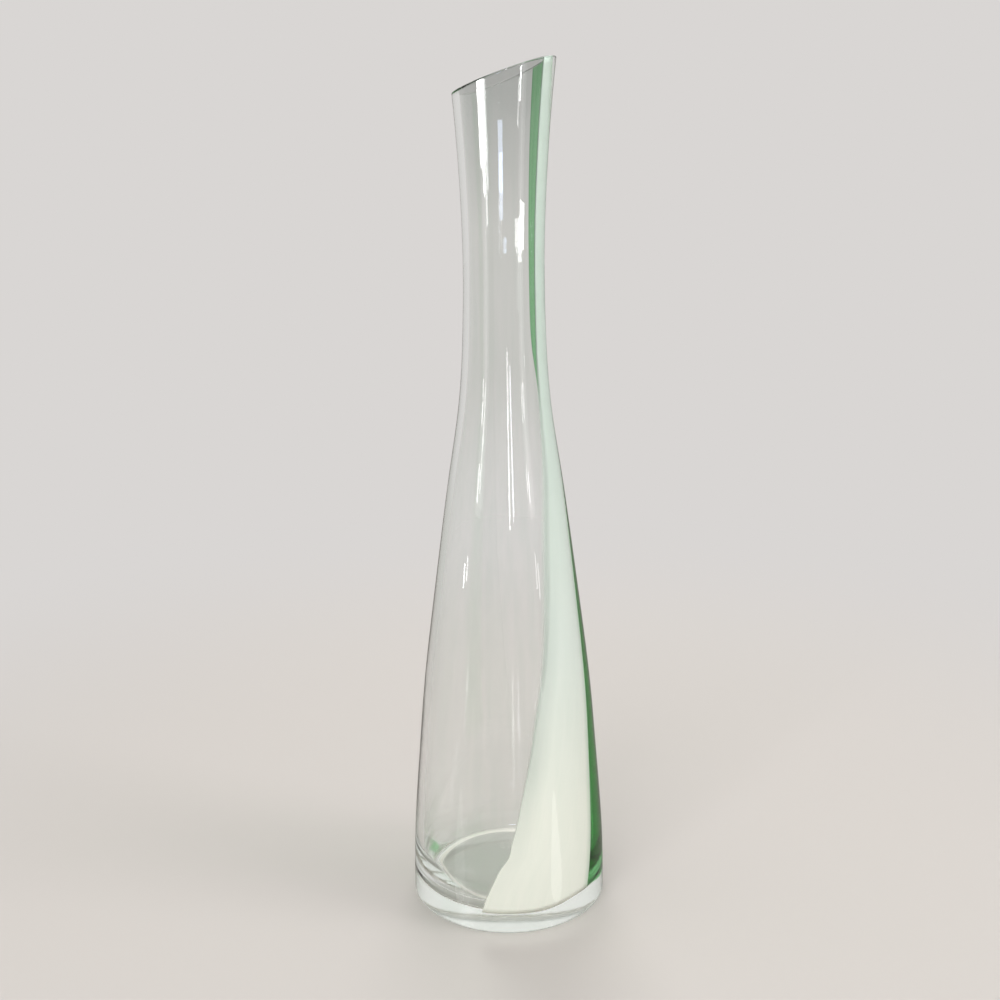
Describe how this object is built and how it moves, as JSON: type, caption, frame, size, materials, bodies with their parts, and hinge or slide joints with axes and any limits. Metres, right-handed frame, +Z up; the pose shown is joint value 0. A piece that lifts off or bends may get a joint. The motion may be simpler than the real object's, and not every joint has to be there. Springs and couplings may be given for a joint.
{
  "type": "striped glass vase",
  "caption": "Tall slender glass vase with a thick flat foot, a narrow neck and a slanted cut rim, and with a white and a green glass band twisting up one side.",
  "frame": {"origin": "centre of the flat foot", "axes": "+Z up along the vase's axis, +X towards the high side of the slanted rim, -Y towards the side seen in the picture"},
  "size_m": [0.0938, 0.0938, 0.39],
  "materials": {
    "clear_glass": "fire-polished clear glass, faintly grey-green",
    "white_glass": "glossy opal glass, mint-white in the neck and cream-white at the foot",
    "green_glass": "glossy transparent emerald glass"
  },
  "bodies": {
    "root": {"clear_body": "clear_glass", "white_band": "white_glass", "green_band": "green_glass"}
  },
  "joints": []
}
